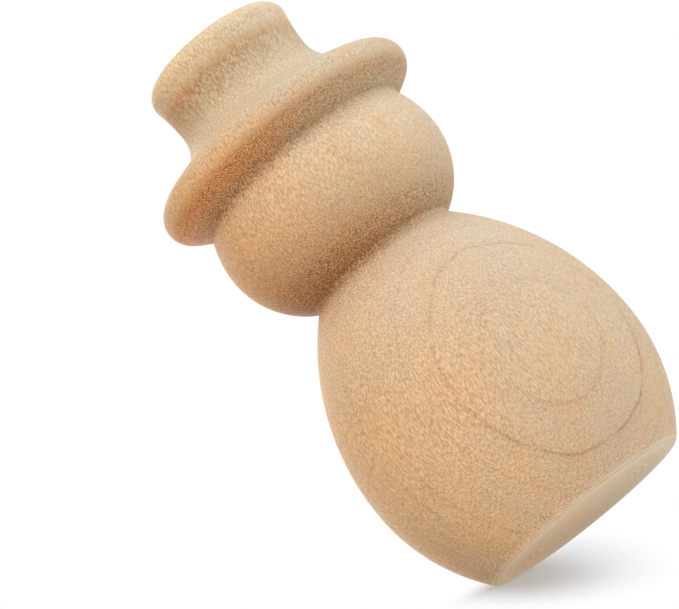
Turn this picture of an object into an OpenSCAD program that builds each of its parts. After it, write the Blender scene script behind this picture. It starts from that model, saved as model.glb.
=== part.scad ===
// Turned wooden peg doll in the shape of a snowman with a top hat.
// Three lathe-turned pieces meet at the two creases and are glued spigot into socket.
// The doll stands on its base face, centred on the Z axis. Sizes are in millimetres.

/* [Body] */
// Widest diameter of the body, round the belly
body_d = 31.8; // [28:0.1:38]
// Height of the body, from the base face to the neck crease
body_h = 31.8; // [26:0.1:40]
// Height of the belly's widest line above the base face
belly_h = 12.9; // [10:0.1:17]
// Diameter at which the belly's curve would reach the base face
foot_d = 22.5; // [17:0.1:27]
// Rounding of the edge round the base face
foot_edge_r = 1; // [0.3:0.1:2.5]
// Diameter of the neck crease, where body and head meet
neck_d = 16.3; // [13:0.1:20]

/* [Head] */
// Widest diameter of the head
head_d = 25.5; // [22:0.1:30]
// Height of the head, from the neck crease to the crease under the brim
head_h = 12.6; // [11:0.1:16]
// Height of the head's widest line above the neck crease
cheek_h = 8; // [6.5:0.1:10]
// How far the crease under the brim lies inside the head's widest line
seat_inset = 1; // [0.4:0.1:2]

/* [Hat brim] */
// How far the brim reaches out past the crease under it
brim_reach = 3.1; // [2:0.1:5]
// Height of the middle of the brim's rim above the crease
rim_h = 3.2; // [2.5:0.1:5]
// Rounding of the rim
rim_r = 1.8; // [1:0.1:2.3]
// Fall of the brim's top towards the rim, in degrees
brim_slope = 22.5; // [5:0.5:30]

/* [Hat crown] */
// Diameter of the crown at its waist
waist_d = 15.5; // [12:0.1:18]
// Radius of the cove between the brim and the waist
cove_r = 4; // [2:0.1:5.5]
// Height of the crown above its waist
crown_h = 5.6; // [4:0.1:9]
// Radius of the hollow curve by which the crown flares above its waist
flare_r = 18; // [10:0.5:40]
// Rounding of the crown's top edge
crown_edge_r = 1.5; // [0.5:0.1:2]

/* [Creases] */
// Rounding of the creases at the neck and under the brim
crease_r = 0.4; // [0.2:0.1:0.8]

/* [Glue joints] */
// Diameter of the spigots under the head and under the hat
spigot_d = 8; // [5:0.1:10]
// Length of the spigots
spigot_l = 6; // [3:0.1:8]
// Chamfer round a spigot's end
spigot_chamfer = 0.6; // [0.2:0.1:1.2]
// Gap between a spigot and its socket, all round
glue_gap = 0.05; // [0.03:0.01:0.3]
// Room below a spigot's end for spare glue
glue_well = 0.8; // [0.4:0.1:1.5]

/* [Hidden] */
$fn = 128;
// Straight steps in each arc of an outline, and in each crease's rounding
arc_steps = 32;
crease_steps = 8;

wood = "BurlyWood";

body_r = body_d / 2;
foot_r = foot_d / 2;
neck_r = neck_d / 2;
head_r = head_d / 2;
seat_r = head_r - seat_inset;
waist_r = waist_d / 2;
seat_h = body_h + head_h;
cheek_z = body_h + cheek_h;

// An outline is a list of points [distance from the axis, height], turned round the axis.

// The points of an arc that follow its first one
function arc(centre, r, from, to, steps = arc_steps) = [
    for (i = [1:steps])
        let (angle = from + (to - from) * i / steps)
        centre + r * [cos(angle), sin(angle)]
];

// Centre of the rounding of a crease, whose throat is where two pieces meet
function crease_centre(throat) = throat + [crease_r, 0];

// Radius of the arc that is upright at a widest line and touches a crease's rounding
function bulge_r(wide, throat) =
    let (inset = wide.x - throat.x - crease_r, rise = throat.y - wide.y)
    (inset ^ 2 + rise ^ 2 - crease_r ^ 2) / (2 * (inset + crease_r));

// Centre of that arc, level with the widest line
function bulge_centre(wide, throat) = wide - [bulge_r(wide, throat), 0];

// Angle at which the two touch, seen from that arc's centre
function bulge_angle(wide, throat) =
    let (way = crease_centre(throat) - bulge_centre(wide, throat))
    atan2(way.y, way.x);

// The points that follow a throat, up to the widest line above it
function swell(throat, wide) =
    let (angle = bulge_angle(wide, throat))
    concat(
        arc(crease_centre(throat), crease_r, 180, 180 + angle, crease_steps),
        arc(bulge_centre(wide, throat), bulge_r(wide, throat), angle, 0)
    );

// The points that follow a widest line, up to the throat above it
function taper(wide, throat) =
    let (angle = bulge_angle(wide, throat))
    concat(
        arc(bulge_centre(wide, throat), bulge_r(wide, throat), 0, angle),
        arc(crease_centre(throat), crease_r, 180 + angle, 180, crease_steps)
    );

belly = [body_r, belly_h];
neck = [neck_r, body_h];
cheek = [head_r, cheek_z];
seat = [seat_r, seat_h];

// The foot's rounding touches the base face and the inside of the belly's lower arc
foot_inset = body_r - foot_r;
foot_arc_r = (foot_inset ^ 2 + belly_h ^ 2) / (2 * foot_inset);
foot_arc_centre = belly - [foot_arc_r, 0];
foot_drop = belly_h - foot_edge_r;
foot_out = sqrt((foot_arc_r - foot_edge_r) ^ 2 - foot_drop ^ 2);
foot_angle = atan2(-foot_drop, foot_out);
foot_edge_centre = foot_arc_centre + [foot_out, -foot_drop];

// The cone under the brim touches the crease's rounding and the rim
rim_centre = seat + [brim_reach - rim_r, rim_h];
under_way = rim_centre - crease_centre(seat);
under_angle = atan2(under_way.y, under_way.x) - acos(-(rim_r + crease_r) / norm(under_way));

// The brim's top is a cone that touches both the rim and the cove
brim_normal = [sin(brim_slope), cos(brim_slope)];
rim_top_angle = 90 - brim_slope;
cove_out = waist_r + cove_r - rim_centre.x;
cove_rise = (rim_r + cove_r - brim_normal.x * cove_out) / brim_normal.y;
cove_centre = rim_centre + [cove_out, cove_rise];

// The crown's flare is upright at the waist and touches the top edge's rounding
waist_z = cove_centre.y;
top_z = waist_z + crown_h;
edge_rise = crown_h - crown_edge_r;
edge_in = sqrt((flare_r + crown_edge_r) ^ 2 - edge_rise ^ 2);
flare_centre = [waist_r + flare_r, waist_z];
edge_centre = flare_centre + [-edge_in, edge_rise];
flare_angle = atan2(edge_rise, -edge_in);

body_outline = concat(
    [[0, 0], [foot_edge_centre.x, 0]],
    arc(foot_edge_centre, foot_edge_r, -90, foot_angle),
    arc(foot_arc_centre, foot_arc_r, foot_angle, 0),
    taper(belly, neck),
    [[0, body_h]]
);

head_outline = concat(
    [[0, body_h], neck],
    swell(neck, cheek),
    taper(cheek, seat),
    [[0, seat_h]]
);

hat_outline = concat(
    [[0, seat_h], seat],
    arc(crease_centre(seat), crease_r, 180, 180 + under_angle, crease_steps),
    [rim_centre + rim_r * [cos(under_angle), sin(under_angle)]],
    arc(rim_centre, rim_r, under_angle, rim_top_angle),
    [cove_centre - cove_r * brim_normal],
    arc(cove_centre, cove_r, rim_top_angle + 180, 180),
    arc(flare_centre, flare_r, 180, flare_angle),
    arc(edge_centre, crown_edge_r, flare_angle - 180, 90),
    [[0, top_z]]
);

// A solid of revolution with the given outline
module turned(outline) rotate_extrude() polygon(outline);

// A spigot that hangs below a shoulder, chamfered round its end
module spigot(shoulder_z) {
    r = spigot_d / 2;
    end_z = shoulder_z - spigot_l;
    side_z = end_z + spigot_chamfer;
    turned([[0, end_z], [r - spigot_chamfer, end_z], [r, side_z], [r, shoulder_z], [0, shoulder_z]]);
}

// The socket that takes a spigot, cut down from a shoulder
module socket(shoulder_z) {
    depth = spigot_l + glue_well;
    translate([0, 0, shoulder_z - depth]) cylinder(r = spigot_d / 2 + glue_gap, h = 2 * depth);
}

module body() {
    color(wood) difference() {
        turned(body_outline);
        socket(body_h);
    }
}

module head() {
    color(wood) difference() {
        union() {
            turned(head_outline);
            spigot(body_h);
        }
        socket(seat_h);
    }
}

module hat() {
    color(wood) {
        turned(hat_outline);
        spigot(seat_h);
    }
}

body();
head();
hat();
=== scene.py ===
import math

import bmesh
import bpy
from mathutils import Matrix, Quaternion, Vector


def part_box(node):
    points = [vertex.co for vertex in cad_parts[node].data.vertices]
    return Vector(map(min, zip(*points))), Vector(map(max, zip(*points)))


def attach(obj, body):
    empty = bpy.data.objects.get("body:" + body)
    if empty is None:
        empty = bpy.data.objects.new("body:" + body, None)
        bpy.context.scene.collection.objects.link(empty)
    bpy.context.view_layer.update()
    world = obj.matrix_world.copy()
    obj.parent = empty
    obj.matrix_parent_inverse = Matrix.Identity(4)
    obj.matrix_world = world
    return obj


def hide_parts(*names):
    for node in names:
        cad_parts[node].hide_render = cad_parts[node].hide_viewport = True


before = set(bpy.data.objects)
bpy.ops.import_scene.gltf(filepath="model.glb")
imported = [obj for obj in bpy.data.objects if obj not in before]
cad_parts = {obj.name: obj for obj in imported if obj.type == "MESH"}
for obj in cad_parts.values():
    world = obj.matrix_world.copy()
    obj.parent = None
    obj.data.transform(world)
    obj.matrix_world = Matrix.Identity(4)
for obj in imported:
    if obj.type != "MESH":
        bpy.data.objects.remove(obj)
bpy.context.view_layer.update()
print("frame loaded:", ", ".join(sorted(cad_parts)))


# Lathe: an outline is drawn at y = 0, from the axis round to the axis again, and then spun about it
lathe = {
    "segments": 256,
    "weld": 1e-7,
    "sharpEdge": math.radians(20),
    "crease": 0.0004,
    "creaseSteps": 8,
}


def startOutline(height):
    outline = bmesh.new()
    return outline, outline.verts.new((0, 0, height))


def lineTo(outline, tip, goal, steps=1):
    start = tip.co.copy()
    end = Vector((goal[0], 0, goal[1]))
    for step in range(steps):
        tip = bmesh.ops.extrude_vert_indiv(outline, verts=[tip])["verts"][0]
        tip.co = start.lerp(end, (step + 1) / steps)
    return tip


def arcTo(outline, tip, centre, fromAngle, toAngle, steps):
    arc = bmesh.ops.spin(
        outline,
        geom=[tip],
        cent=(centre[0], 0, centre[1]),
        axis=(0, -1, 0),  # takes +X towards +Z
        angle=toAngle - fromAngle,
        steps=steps,
    )
    return next(part for part in arc["geom_last"] if isinstance(part, bmesh.types.BMVert))


def spinOutline(outline, name):
    bmesh.ops.spin(
        outline,
        geom=outline.verts[:] + outline.edges[:],
        cent=(0, 0, 0),
        axis=(0, 0, 1),
        angle=math.tau,
        steps=lathe["segments"],
        use_merge=True,
    )
    bmesh.ops.remove_doubles(outline, verts=outline.verts[:], dist=lathe["weld"])
    bmesh.ops.recalc_face_normals(outline, faces=outline.faces[:])
    mesh = bpy.data.meshes.new(name)
    outline.to_mesh(mesh)
    outline.free()
    mesh.shade_smooth()
    mesh.set_sharp_from_angle(angle=lathe["sharpEdge"])
    piece = bpy.data.objects.new(name, mesh)
    bpy.context.scene.collection.objects.link(piece)
    print(name, "turned:", len(mesh.polygons), "faces")
    return piece


def creaseCentre(throat):
    return throat + Vector((lathe["crease"], 0))


def bulge(wide, throat):
    # the arc that is upright at a widest line and touches the rounding of a crease above or below it
    crease = lathe["crease"]
    inset, rise = wide.x - throat.x - crease, throat.y - wide.y
    radius = (inset**2 + rise**2 - crease**2) / (2 * (inset + crease))
    centre = wide - Vector((radius, 0))
    way = creaseCentre(throat) - centre
    return centre, math.atan2(way.y, way.x)


def swell(outline, tip, throat, wide, steps):
    centre, angle = bulge(wide, throat)
    tip = arcTo(outline, tip, creaseCentre(throat), math.pi, math.pi + angle, lathe["creaseSteps"])
    return arcTo(outline, tip, centre, angle, 0, steps)


def taper(outline, tip, wide, throat, steps):
    centre, angle = bulge(wide, throat)
    tip = arcTo(outline, tip, centre, 0, angle, steps)
    return arcTo(outline, tip, creaseCentre(throat), math.pi + angle, math.pi, lathe["creaseSteps"])


# Heights and widths that the pieces share, from the frame
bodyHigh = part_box("body")[1]
headLow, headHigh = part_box("head")
hatLow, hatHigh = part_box("hat")
neckHeight = bodyHigh.z
seatHeight = headHigh.z
topHeight = hatHigh.z

# Glue joints: a chamfered spigot below the head and the hat, each in a socket with room for glue
joint = {
    "spigotRadius": 0.004,
    "chamfer": 0.0006,
    "glueGap": 0.00005,
    "glueWell": 0.0008,
    "endSteps": 3,
    "sideSteps": 4,
    "shoulderSteps": 3,
}


def drawSpigot(shoulder, endHeight):
    radius, chamfer = joint["spigotRadius"], joint["chamfer"]
    outline, tip = startOutline(endHeight)
    tip = lineTo(outline, tip, (radius - chamfer, endHeight), joint["endSteps"])
    tip = lineTo(outline, tip, (radius, endHeight + chamfer))
    return outline, lineTo(outline, tip, (radius, shoulder), joint["sideSteps"])


def drawSocket(outline, tip, shoulder, spigotEnd):
    radius = joint["spigotRadius"] + joint["glueGap"]
    floorHeight = spigotEnd - joint["glueWell"]
    tip = lineTo(outline, tip, (radius, shoulder), joint["shoulderSteps"])
    tip = lineTo(outline, tip, (radius, floorHeight), joint["sideSteps"])
    lineTo(outline, tip, (0, floorHeight), joint["endSteps"])


# Body: a foot with an eased edge, the belly, and the socket for the head's spigot
body = {
    "bellyHeight": 0.0129,
    "footRadius": 0.01125,
    "footEdge": 0.001,
    "neckRadius": 0.00815,
    "baseSteps": 8,
    "edgeSteps": 10,
    "footSteps": 40,
    "shoulderSteps": 56,
}
neck = Vector((body["neckRadius"], neckHeight))


def footEdge():
    # the foot's rounding touches the base face and the inside of the belly's lower arc
    belly = Vector((bodyHigh.x, body["bellyHeight"]))
    edge, inset = body["footEdge"], bodyHigh.x - body["footRadius"]
    radius = (inset**2 + belly.y**2) / (2 * inset)
    centre = belly - Vector((radius, 0))
    drop = belly.y - edge
    out = math.sqrt((radius - edge) ** 2 - drop**2)
    return belly, centre, centre + Vector((out, -drop)), math.atan2(-drop, out)


def turnBody():
    belly, footCentre, edgeCentre, footAngle = footEdge()
    outline, tip = startOutline(0)
    tip = lineTo(outline, tip, (edgeCentre.x, 0), body["baseSteps"])
    tip = arcTo(outline, tip, edgeCentre, -math.pi / 2, footAngle, body["edgeSteps"])
    tip = arcTo(outline, tip, footCentre, footAngle, 0, body["footSteps"])
    tip = taper(outline, tip, belly, neck, body["shoulderSteps"])
    drawSocket(outline, tip, neckHeight, headLow.z)
    return spinOutline(outline, "dollBody")


# Head: a spigot below, the ball, and the socket for the hat's spigot
head = {
    "cheekHeight": 0.0398,  # above the base face
    "seatInset": 0.001,
    "jawSteps": 36,
    "browSteps": 20,
}
cheek = Vector((headHigh.x, head["cheekHeight"]))
seat = Vector((headHigh.x - head["seatInset"], seatHeight))


def turnHead():
    outline, tip = drawSpigot(neckHeight, headLow.z)
    tip = lineTo(outline, tip, neck, joint["shoulderSteps"])
    tip = swell(outline, tip, neck, cheek, head["jawSteps"])
    tip = taper(outline, tip, cheek, seat, head["browSteps"])
    drawSocket(outline, tip, seatHeight, hatLow.z)
    return spinOutline(outline, "dollHead")


# Hat: a spigot, the cone under the brim, the rim, the brim's top, the cove, the flare and the top
hat = {
    "rimHeight": 0.0032,  # above the seat
    "rimRadius": 0.0018,
    "brimSlope": math.radians(22.5),
    "waistRadius": 0.00775,
    "coveRadius": 0.004,
    "flareRadius": 0.018,
    "topEdge": 0.0015,
    "seatSteps": 5,
    "underSteps": 8,
    "rimSteps": 32,
    "brimSteps": 6,
    "coveSteps": 24,
    "flareSteps": 16,
    "edgeSteps": 16,
    "topSteps": 6,
}


def turnHat():
    rim, cove, flare, edge = (hat[name] for name in ("rimRadius", "coveRadius", "flareRadius", "topEdge"))
    # each centre is placed so that its arc touches the stretches on both sides of it
    rimCentre = Vector((hatHigh.x - rim, seatHeight + hat["rimHeight"]))
    way = rimCentre - creaseCentre(seat)
    underAngle = math.atan2(way.y, way.x) - math.acos(-(rim + lathe["crease"]) / way.length)
    underEnd = rimCentre + rim * Vector((math.cos(underAngle), math.sin(underAngle)))
    brimAngle = math.pi / 2 - hat["brimSlope"]
    across = Vector((math.cos(brimAngle), math.sin(brimAngle)))
    coveOut = hat["waistRadius"] + cove - rimCentre.x
    coveCentre = rimCentre + Vector((coveOut, (rim + cove - across.x * coveOut) / across.y))
    edgeRise = topHeight - edge - coveCentre.y
    edgeIn = math.sqrt((flare + edge) ** 2 - edgeRise**2)
    flareCentre = Vector((hat["waistRadius"] + flare, coveCentre.y))
    edgeCentre = flareCentre + Vector((-edgeIn, edgeRise))
    flareAngle = math.atan2(edgeRise, -edgeIn)

    outline, tip = drawSpigot(seatHeight, hatLow.z)
    tip = lineTo(outline, tip, seat, hat["seatSteps"])
    tip = arcTo(outline, tip, creaseCentre(seat), math.pi, math.pi + underAngle, lathe["creaseSteps"])
    tip = lineTo(outline, tip, underEnd, hat["underSteps"])
    tip = arcTo(outline, tip, rimCentre, underAngle, brimAngle, hat["rimSteps"])
    tip = lineTo(outline, tip, coveCentre - cove * across, hat["brimSteps"])
    tip = arcTo(outline, tip, coveCentre, brimAngle + math.pi, math.pi, hat["coveSteps"])
    tip = arcTo(outline, tip, flareCentre, math.pi, flareAngle, hat["flareSteps"])
    tip = arcTo(outline, tip, edgeCentre, flareAngle - math.pi, math.pi / 2, hat["edgeSteps"])
    lineTo(outline, tip, (0, topHeight), hat["topSteps"])
    return spinOutline(outline, "dollHat")


pieces = {"body": turnBody(), "head": turnHead(), "hat": turnHat()}


# Materials: short helpers for the nodes
def addNode(tree, kind, inputs=None, **settings):
    node = tree.nodes.new("ShaderNode" + kind)
    for name, value in settings.items():
        setattr(node, name, value)
    for socket, value in (inputs or {}).items():
        if isinstance(value, bpy.types.NodeSocket):
            tree.links.new(value, node.inputs[socket])
        else:
            node.inputs[socket].default_value = value
    return node


def calc(tree, operation, first, second=0.0):
    return addNode(tree, "Math", {0: first, 1: second}, operation=operation).outputs[0]


def times(tree, first, second):
    return calc(tree, "MULTIPLY", first, second)


def ramp(tree, value, low, high, toLow=0.0, toHigh=1.0):
    span = {"Value": value, "From Min": low, "From Max": high, "To Min": toLow, "To Max": toHigh}
    return addNode(tree, "MapRange", span, interpolation_type="SMOOTHSTEP").outputs[0]


def mixColour(tree, share, first, second, blend="MIX"):
    inputs = {0: share, 6: first, 7: second}
    return addNode(tree, "Mix", inputs, data_type="RGBA", blend_type=blend).outputs[2]


def scaleVector(tree, vector, factor):
    return addNode(tree, "VectorMath", {0: vector, 1: factor}, operation="MULTIPLY").outputs[0]


def lengthOf(tree, vector):
    return addNode(tree, "VectorMath", {0: vector}, operation="LENGTH").outputs["Value"]


def shareRamp(tree, value, stops):
    node = addNode(tree, "ValToRGB", {"Fac": value})
    node.color_ramp.interpolation = "EASE"
    elements = node.color_ramp.elements
    elements.remove(elements[1])
    elements[0].position, elements[0].color = stops[0][0], (*stops[0][1:], 1)
    for at, *shares in stops[1:]:
        elements.new(at).color = (*shares, 1)
    return addNode(tree, "SeparateColor", {"Color": node.outputs["Color"]}).outputs


def newMaterial(name):
    material = bpy.data.materials.new(name)
    material.use_nodes = True
    material.node_tree.nodes.clear()
    return material, material.node_tree


# Wood: one pale hardwood stick, its grain along Z; lengths in the grain's own space are in millimetres
grain = {
    "pith": (-0.04625, 0.0837, 0.016),
    "lean": (math.radians(-2.7), math.radians(2.5), 0.0),
    "millimetre": 0.001,
    "fleckShare": 0.7,
    "speckShare": 0.3,
    "cloudMiddle": 0.5,
}
# changes per millimetre across and along the grain, then detail and roughness
clouds = {
    "blotch": ((0.25, 0.25, 0.13), 3, 0.5),
    "streak": ((2.6, 2.6, 0.35), 2, 0.5),
    "fleck": ((10.5, 10.5, 2.0), 1, 0.6),
    "speck": ((14, 14, 8), 1, 0.5),
    "tuft": ((6.5, 6.5, 2), 1, 0.5),
    "wobble": ((0.12, 0.12, 0.06), 4, 0.5),
    "breaks": ((0.6, 0.6, 0.3), 3, 0.5),
}


def cloud(tree, place, kind):
    stretch, detail, roughness = clouds[kind]
    inputs = {"Vector": scaleVector(tree, place, stretch), "Scale": 1.0}
    inputs.update({"Detail": detail, "Roughness": roughness})
    return addNode(tree, "TexNoise", inputs).outputs["Fac"]


def swing(tree, place, kind):
    return calc(tree, "SUBTRACT", cloud(tree, place, kind), grain["cloudMiddle"])


def findSpot(tree):
    # where a point lies on the stick, which way it faces, and the fibres there
    coords = addNode(tree, "TexCoord").outputs
    size = (grain["millimetre"],) * 3
    place = {"Vector": coords["Object"], "Location": grain["pith"], "Rotation": grain["lean"], "Scale": size}
    place = addNode(tree, "Mapping", place, vector_type="TEXTURE").outputs[0]
    point = addNode(tree, "SeparateXYZ", {0: coords["Object"]}).outputs
    facing = addNode(tree, "SeparateXYZ", {0: coords["Normal"]}).outputs["Z"]
    outward = (1 / grain["millimetre"], 1 / grain["millimetre"], 0)
    fleck = times(tree, cloud(tree, place, "fleck"), grain["fleckShare"])
    speck = times(tree, cloud(tree, place, "speck"), grain["speckShare"])
    return {
        "place": place,
        "side": point["X"],
        "height": point["Z"],
        "facing": facing,
        "reach": lengthOf(tree, scaleVector(tree, coords["Object"], outward)),
        "streak": cloud(tree, place, "streak"),
        "fleck": calc(tree, "ADD", fleck, speck),
    }


# Bands: burnt wood at the creases and under the brim, partly darker rubbed grain and partly painted crease
# shade; a painted highlight where the light falls; a painted warm glow where light turns to shade; all run
# out along the fibres
# a span is from low, from high and, unless it runs from 0 to 1, to low, to high
bands = {
    "greyGrainAndTopLight": (0.66, 0.49, 0.305, 1),
    "burntAndShade": (0.45, 0.205, 0.065, 1),
    "paleHighlight": (0.82, 0.575, 0.315, 1),
    "warmShadeGlow": (0.70, 0.275, 0.075, 1),
    "greyGrainAndTopLightSlope": (0.1, 0.75, 0, 0.6),
    "streakShift": (0.2, 0.8, -0.0003, 0.0003),
    "fleckShift": (0.3, 0.7, -0.0006, 0.0006),
    "burntAndShadeFleck": (0.36, 0.50, 0.5, 1),
    "creaseShadeSide": (-0.004, 0.010, 1, 0.45),
    "warmShadeGlowSide": (-0.008, 0.012, 1, 0.4),
}


def shadeAndLightBands(tree, look, spot):
    low, high = look["tones"][0][0], look["tones"][-1][0]
    height = calc(tree, "ADD", spot["height"], ramp(tree, spot["streak"], *bands["streakShift"]))
    height = calc(tree, "ADD", height, ramp(tree, spot["fleck"], *bands["fleckShift"]))
    along = addNode(tree, "MapRange", {"Value": height, "From Min": low, "From Max": high}).outputs[0]
    stops = [((at - low) / (high - low), *shares) for at, *shares in look["tones"]]
    # the three shares are burnt wood with painted crease shade, a painted highlight on the brow, rim top and
    # crown edge, and a painted warm glow
    burntAndShade, paleHighlight, warmShadeGlow = shareRamp(tree, along, stops)
    # painted shade: the burnt share darkens the creases and the undersides, partly darker rubbed grain and
    # partly painted crease shade
    burntAndShade = times(tree, burntAndShade, ramp(tree, spot["fleck"], *bands["burntAndShadeFleck"]))
    # painted shade: the crease shade is full on the -X side and weaker on the lit +X side
    burntAndShade = times(tree, burntAndShade, ramp(tree, spot["side"], *bands["creaseShadeSide"]))
    # painted light: a warm glow where light turns to shade under the brim and on the crown's flare, stronger
    # on the -X side
    warmShadeGlow = times(tree, warmShadeGlow, ramp(tree, spot["side"], *bands["warmShadeGlowSide"]))
    # painted light: slopes facing up turn paler and greyer, partly greyer end grain and partly painted cool
    # light from above
    greyGrainAndTopLight = ramp(tree, spot["facing"], *bands["greyGrainAndTopLightSlope"])
    colour = mixColour(tree, greyGrainAndTopLight, look["plain"], bands["greyGrainAndTopLight"])
    for share, tone in ((burntAndShade, "burntAndShade"), (paleHighlight, "paleHighlight"), (warmShadeGlow, "warmShadeGlow")):
        colour = mixColour(tree, share, colour, bands[tone])
    return colour, burntAndShade


# End grain: sawn faces are smooth and greyer with round tool marks, and sloping end grain is torn
ends = {
    "sawn": (0.88, 0.63, 0.365, 1),
    "sawnMiddle": (0.82, 0.53, 0.27, 1),
    "topFace": (0.95, 0.99),
    "baseFace": (-0.84, -0.97),
    "footEdge": (-0.54, -0.78),
    "warmMiddle": (10.5, 7.5),
    "tornSlope": (0.45, 0.8),
    "calmTop": (0, 0.5, 1, 0.35),
    "calmSawn": (0, 1, 1, 0.25),
    "toolMarks": {"Scale": 2.2, "Detail": 3},
    "toolMarkTone": (0.35, 0.7, 0, 0.3),
}


def endGrain(tree, look, spot, colour, burntAndShade):
    facing = spot["facing"]
    sawn = calc(tree, "MAXIMUM", ramp(tree, facing, *ends["topFace"]), ramp(tree, facing, *ends["baseFace"]))
    # painted highlight: a pale band along the foot's eased edge, where the light catches it
    foot = ramp(tree, facing, *ends["footEdge"], 0, look["foot"])
    torn = ramp(tree, calc(tree, "ABSOLUTE", facing), *ends["tornSlope"])
    torn = times(tree, torn, ramp(tree, facing, *ends["calmTop"]))
    torn = calc(tree, "MAXIMUM", torn, burntAndShade)
    torn = times(tree, torn, ramp(tree, calc(tree, "MAXIMUM", sawn, foot), *ends["calmSawn"]))
    marks = {"W": spot["reach"], **ends["toolMarks"]}
    marks = addNode(tree, "TexNoise", marks, noise_dimensions="1D").outputs["Fac"]
    # the sawn face turns warmer towards its middle
    warmMiddle = ramp(tree, spot["reach"], *ends["warmMiddle"], 0, look["foot"])
    face = mixColour(tree, warmMiddle, ends["sawn"], ends["sawnMiddle"])
    face = mixColour(tree, ramp(tree, marks, *ends["toolMarkTone"]), face, bands["burntAndShade"])
    colour = mixColour(tree, foot, colour, bands["paleHighlight"])
    return mixColour(tree, sawn, colour, face), torn, foot


# Tints: painted side light, warmer on the -X side from bounced light and paler and cooler on the lit +X
# side, and soft warm and cool patches in the wood
tints = {
    "across": (-0.015, 0.015),
    "patches": (0.3, 0.7),
    "warmPatch": (1.04, 0.99, 0.93, 1),
    "coolPatch": (0.97, 1.01, 1.05, 1),
}


def sideLightAndPatches(tree, look, spot, colour):
    # painted light: the stick is warmer on its shaded -X side and paler and cooler on its lit +X side
    side = ramp(tree, spot["side"], *tints["across"])
    tint = mixColour(tree, side, look["warmBounceSide"], look["coolLightSide"])
    colour = mixColour(tree, 1, colour, tint, "MULTIPLY")
    patch = ramp(tree, cloud(tree, spot["place"], "blotch"), *tints["patches"])
    tint = mixColour(tree, patch, tints["warmPatch"], tints["coolPatch"])
    return mixColour(tree, 1, colour, tint, "MULTIPLY")


# Growth rings: thin broken lines round the pith, each with a soft shade inside it
rings = {
    "colour": (0.46, 0.20, 0.07, 1),
    "mainRadius": 108.39,
    "spacing": 2.05,
    "wobble": 1.3,
    "line": (0, 0.08, 1, 0),
    "lineFleck": (0.35, 0.6, 0.4, 1),
    "lineShare": 0.6,
    "shadeInside": (-0.4, -0.01),
    "shadeEnd": (0.0, 0.05, 1, 0),
    "shadeShare": 0.12,
    "otherRings": 0.4,
    "breaks": (0.35, 0.55, 0.35, 1),
    "aboveFoot": (0.007, 0.015, 1, 0.55),
}


def growthRings(tree, look, spot, fleck, colour):
    radial = lengthOf(tree, scaleVector(tree, spot["place"], (1, 1, 0)))
    wobble = times(tree, swing(tree, spot["place"], "wobble"), rings["wobble"])
    ring = calc(tree, "SUBTRACT", calc(tree, "ADD", radial, wobble), rings["mainRadius"])
    ring = calc(tree, "DIVIDE", ring, rings["spacing"])
    nearest = calc(tree, "ROUND", ring)
    away = calc(tree, "SUBTRACT", ring, nearest)
    line = ramp(tree, calc(tree, "ABSOLUTE", away), *rings["line"])
    line = times(tree, line, ramp(tree, fleck, *rings["lineFleck"]))
    shade = times(tree, ramp(tree, away, *rings["shadeInside"]), ramp(tree, away, *rings["shadeEnd"]))
    mark = calc(tree, "ADD", times(tree, line, rings["lineShare"]), times(tree, shade, rings["shadeShare"]))
    others = rings["otherRings"] * look["rings"]
    strength = ramp(tree, calc(tree, "ABSOLUTE", nearest), 0, 1, look["rings"], others)
    broken = ramp(tree, cloud(tree, spot["place"], "breaks"), *rings["breaks"])
    broken = times(tree, broken, ramp(tree, spot["height"], *rings["aboveFoot"]))
    strength = times(tree, strength, broken)
    return mixColour(tree, times(tree, mark, strength), colour, rings["colour"])


# Fibres: light and dark flecks along the grain, stronger and in tufts where the grain is torn
fibres = {
    "darkTone": (0.44, 0.34, 0.26, 1),
    "lightTone": (1.32, 1.42, 1.52, 1),
    "tufts": 0.6,
    "tornDepth": (0, 1, 0.48, 1),
    "footDepth": (0, 1, 1, 0.4),
    "sideDepth": (-0.012, 0.012, 1.1, 0.7),
    "dark": (0.49, 0.58),
    "light": (0.47, 0.38),
    "streaks": (0.5, 0.75, 0, 0.07),
}


def tuftFibres(tree, spot, torn):
    tuft = times(tree, swing(tree, spot["place"], "tuft"), times(tree, torn, fibres["tufts"]))
    return calc(tree, "ADD", spot["fleck"], tuft)


def fleckFibres(tree, spot, fleck, torn, foot, colour):
    depth = times(tree, ramp(tree, torn, *fibres["tornDepth"]), ramp(tree, foot, *fibres["footDepth"]))
    depth = times(tree, depth, ramp(tree, spot["side"], *fibres["sideDepth"]))
    dark = times(tree, ramp(tree, fleck, *fibres["dark"]), depth)
    light = times(tree, ramp(tree, fleck, *fibres["light"]), depth)
    streak = ramp(tree, spot["streak"], *fibres["streaks"])
    for share, tone in ((dark, "darkTone"), (light, "lightTone"), (streak, "darkTone")):
        colour = mixColour(tree, share, colour, fibres[tone], "MULTIPLY")
    return colour


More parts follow.
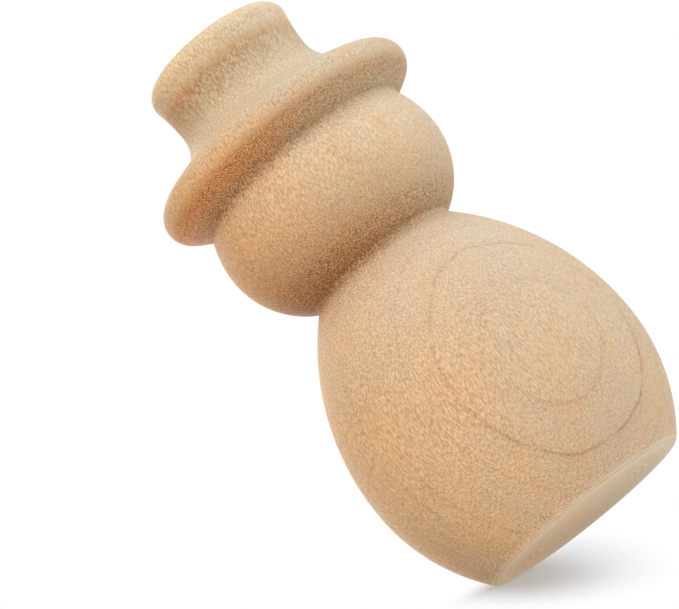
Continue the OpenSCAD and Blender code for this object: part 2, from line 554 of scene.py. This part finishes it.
# Each piece's own wood, with its painted side light; tones are shares of burnt wood with painted crease
# shade, painted highlight and painted warm glow at heights in metres
wood = {
    "body": {
        "slot": "body_wood",
        "plain": (0.70, 0.425, 0.208, 1),
        "rings": 1.0,
        "foot": 0.85,
        "warmBounceSide": (1.06, 1.05, 1.06, 1),
        "coolLightSide": (0.97, 1.19, 1.61, 1),
        "tones": [(0, 0, 0, 0), (0.0270, 0, 0, 0), (0.0303, 0.30, 0, 0), (0.0318, 0.80, 0, 0)],
    },
    "head": {
        "slot": "head_wood",
        "plain": (0.67, 0.395, 0.185, 1),
        "rings": 0.4,
        "foot": 0,
        "warmBounceSide": (1.0, 0.91, 0.83, 1),
        "coolLightSide": (1.04, 1.35, 1.9, 1),
        "tones": [(0.0318, 0.9, 0, 0), (0.0330, 0.9, 0, 0), (0.0358, 0.28, 0, 0.05), (0.038, 0, 0, 0),
                  (0.0405, 0, 0.15, 0), (0.0425, 0, 0.3, 0), (0.0434, 0.12, 0.2, 0), (0.0444, 0.6, 0, 0)],
    },
    "hat": {
        "slot": "hat_wood",
        "plain": (0.59, 0.405, 0.22, 1),
        "rings": 0.4,
        "foot": 0,
        "warmBounceSide": (1.06, 1.04, 1.02, 1),
        "coolLightSide": (1.0, 1.21, 1.57, 1),
        "tones": [(0.0444, 0.85, 0, 0), (0.0454, 0.7, 0, 0.5), (0.0463, 0.3, 0, 0.9), (0.0471, 0, 0.4, 0.4),
                  (0.0486, 0, 0.1, 0.1), (0.0538, 0, 0, 0), (0.0553, 0.28, 0, 0.12), (0.0564, 0.4, 0, 0.38),
                  (0.0575, 0, 0.6, 0.08), (0.060, 0, 0.65, 0)],
    },
}
surface = {
    "relief": (0, 1, -0.6, -1.2),
    "reliefDepth": 0.00003,
    "reliefStrength": 0.5,
    "roughness": (0.35, 0.65, 0.55, 0.72),
    "specular": 0.25,
}


def makeWood(name, look):
    material, tree = newMaterial(name + "Wood")
    spot = findSpot(tree)
    colour, burntAndShade = shadeAndLightBands(tree, look, spot)
    colour, torn, foot = endGrain(tree, look, spot, colour, burntAndShade)
    colour = sideLightAndPatches(tree, look, spot, colour)
    fleck = tuftFibres(tree, spot, torn)
    colour = growthRings(tree, look, spot, fleck, colour)
    colour = fleckFibres(tree, spot, fleck, torn, foot, colour)
    relief = {
        "Height": times(tree, fleck, ramp(tree, torn, *surface["relief"])),
        "Distance": surface["reliefDepth"],
        "Strength": surface["reliefStrength"],
    }
    finish = {
        "Base Color": colour,
        "Roughness": ramp(tree, fleck, *surface["roughness"]),
        "Normal": addNode(tree, "Bump", relief).outputs[0],
        "Specular IOR Level": surface["specular"],
    }
    shader = addNode(tree, "BsdfPrincipled", finish)
    addNode(tree, "OutputMaterial", {"Surface": shader.outputs[0]})
    return material


for node, piece in pieces.items():
    piece.data.materials.append(makeWood(node, wood[node]))
    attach(piece, "root")
    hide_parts(node)
print("wood set on", len(pieces), "pieces")


# Camera: the doll leans in the picture, so in its own frame the camera is low and rolled
view = {
    "lens": 177.4,
    "distance": 0.3301,
    "below": math.radians(11.585),
    "roll": math.radians(39.04),
    "middlePixel": (394.9, 277.2),
    "framePixels": (679, 609),
    "sensor": 36.0,
}


def aimCamera():
    middle = Vector((0, 0, topHeight / 2))
    back = Vector((0, -math.cos(view["below"]), -math.sin(view["below"])))
    level = (-back).to_track_quat("-Z", "Y")
    rolled = level @ Quaternion((0, 0, 1), -view["roll"])
    wide, high = view["framePixels"]
    pixel = view["sensor"] / view["lens"] / wide
    right, down = view["middlePixel"][0] - wide / 2, view["middlePixel"][1] - high / 2
    toMiddle = Vector((right * pixel, -down * pixel, -1))
    aside = toMiddle.rotation_difference(Vector((0, 0, -1)))
    data = bpy.data.cameras.new("photoCamera")
    data.lens, data.sensor_width = view["lens"], view["sensor"]
    camera = bpy.data.objects.new("photoCamera", data)
    turn = (rolled @ aside).to_matrix().to_4x4()
    camera.matrix_world = Matrix.Translation(middle + view["distance"] * back) @ turn
    bpy.context.scene.collection.objects.link(camera)
    bpy.context.scene.camera = camera


aimCamera()
print("camera aimed")


# Stage: a level floor for the standing doll, and a leaning one that meets the foot in the photo's view
stage = {
    "level": {
        "normal": (0, 0, 1),
        "size": 0.2,
        "middle": (0, 0, 0),
        "fade": (0.05, 0.15),
        "shade": (0.05, 0.15),
        "top": 1,
        "solid": False,
        "white": (0.9, 0.9, 0.9, 1),
        "shine": (0.27, 0.27, 0.27, 1),
    },
    "leaning": {
        "normal": (0.6, -0.33, 0.73),
        "size": 0.04,
        "middle": (0.0005, 0.0047, 0.0017),
        "fade": (0.005, 0.018),
        "shade": (0.018, 0.032),
        "top": 0.002,
        "solid": True,
        "white": (0.82, 0.87, 0.92, 1),
        "shine": (0.08, 0.11, 0.14, 1),
    },
    "gap": 0.00002,
    "segments": 96,
}


def makeWhite(name, look, foot):
    # white near the foot, clear further out, above the top and from behind
    material, tree = newMaterial(name + "White")
    coords = addNode(tree, "TexCoord").outputs
    middle = {"Vector": coords["Object"], "Location": foot + Vector(look["middle"])}
    apart = lengthOf(tree, addNode(tree, "Mapping", middle, vector_type="TEXTURE").outputs[0])
    shade = ramp(tree, apart, *look["shade"], 1, 0)  # reaches further where it only keeps light off the foot
    shade = times(tree, shade, addNode(tree, "LightPath").outputs["Is Shadow Ray"])
    near = calc(tree, "MAXIMUM", ramp(tree, apart, *look["fade"], 1, 0), shade)
    height = addNode(tree, "SeparateXYZ", {0: coords["Object"]}).outputs["Z"]
    near = times(tree, near, ramp(tree, height, 0, look["top"], 1, 0))
    behind = addNode(tree, "NewGeometry").outputs["Backfacing"]
    shown = times(tree, near, calc(tree, "SUBTRACT", 1, behind))
    matt = addNode(tree, "BsdfDiffuse", {"Color": look["white"]}).outputs[0]
    shine = addNode(tree, "Emission", {"Color": look["shine"]}).outputs[0]
    white = addNode(tree, "AddShader", {0: matt, 1: shine}).outputs[0]
    clear = addNode(tree, "BsdfTransparent").outputs[0]
    mix = addNode(tree, "MixShader", {0: shown, 1: clear, 2: white}).outputs[0]
    addNode(tree, "OutputMaterial", {"Surface": mix})
    return material


def layFloor(name, look, foot):
    disc = bmesh.new()
    bmesh.ops.create_circle(disc, cap_ends=True, segments=stage["segments"], radius=look["size"])
    turn = Vector(look["normal"]).to_track_quat("Z", "Y").to_matrix().to_4x4()
    bmesh.ops.transform(disc, matrix=Matrix.Translation(foot) @ turn, verts=disc.verts[:])
    mesh = bpy.data.meshes.new(name)
    disc.to_mesh(mesh)
    disc.free()
    mesh.materials.append(makeWhite(name, look, foot))
    floor = bpy.data.objects.new(name, mesh)
    bpy.context.scene.collection.objects.link(floor)
    floor.visible_diffuse = floor.visible_glossy = floor.visible_transmission = False
    floor.visible_shadow = look["solid"]


def footAt(normal):
    # the lowest point of the foot's edge, seen along a floor's normal
    edgeCentre = footEdge()[2]
    normal = Vector(normal).normalized()
    flat = Vector((-normal.x, -normal.y, 0)).normalized()
    middle = flat * edgeCentre.x + Vector((0, 0, edgeCentre.y))
    return middle - normal * (body["footEdge"] + stage["gap"])


layFloor("levelFloor", stage["level"], Vector((0, 0, -stage["gap"])))
layFloor("leaningFloor", stage["leaning"], footAt(stage["leaning"]["normal"]))
print("floors laid")


# Light: a soft white surround and broad lamps from the front, one side, the back and, weaker, from below
studio = {
    "fill": 0.40,
    "distance": 0.5,
    "size": 0.55,
    "lamps": {
        "frontLamp": {"toward": (-0.12, -0.75, 0.65), "level": 0.65},
        "sideLamp": {"toward": (0.98, 0.1, 0.1), "level": 0.50},
        "backLamp": {"toward": (-0.35, 0.9, 0.25), "level": 0.45},
        "lowLamp": {"toward": (-0.2, -0.4, -0.89), "level": 0.33},
    },
}


def whiteSurround():
    world = bpy.data.worlds.new("whiteStudio")
    bpy.context.scene.world = world
    world.use_nodes = True
    tree = world.node_tree
    tree.nodes.clear()
    path = addNode(tree, "LightPath").outputs
    seen = calc(tree, "MAXIMUM", path["Is Camera Ray"], path["Is Glossy Ray"])
    seen = calc(tree, "MAXIMUM", seen, path["Is Transmission Ray"])
    strength = ramp(tree, seen, 0, 1, studio["fill"], 1)
    shine = addNode(tree, "Background", {"Color": (1, 1, 1, 1), "Strength": strength})
    addNode(tree, "OutputWorld", {"Surface": shine.outputs[0]})


def hangLamp(name, look):
    radius, distance = studio["size"] / 2, studio["distance"]
    spread = radius**2 / (radius**2 + distance**2)
    data = bpy.data.lights.new(name, "AREA")
    data.shape, data.size = "DISK", studio["size"]
    data.energy = math.pi * look["level"] * math.pi * radius**2 / spread
    lamp = bpy.data.objects.new(name, data)
    toward = Vector(look["toward"]).normalized()
    lamp.location = Vector((0, 0, topHeight / 2)) + distance * toward
    lamp.rotation_euler = toward.to_track_quat("Z", "Y").to_euler()
    bpy.context.scene.collection.objects.link(lamp)


whiteSurround()
for name, look in studio["lamps"].items():
    hangLamp(name, look)
bpy.context.scene.view_settings.view_transform = "Standard"
print("studio lit")
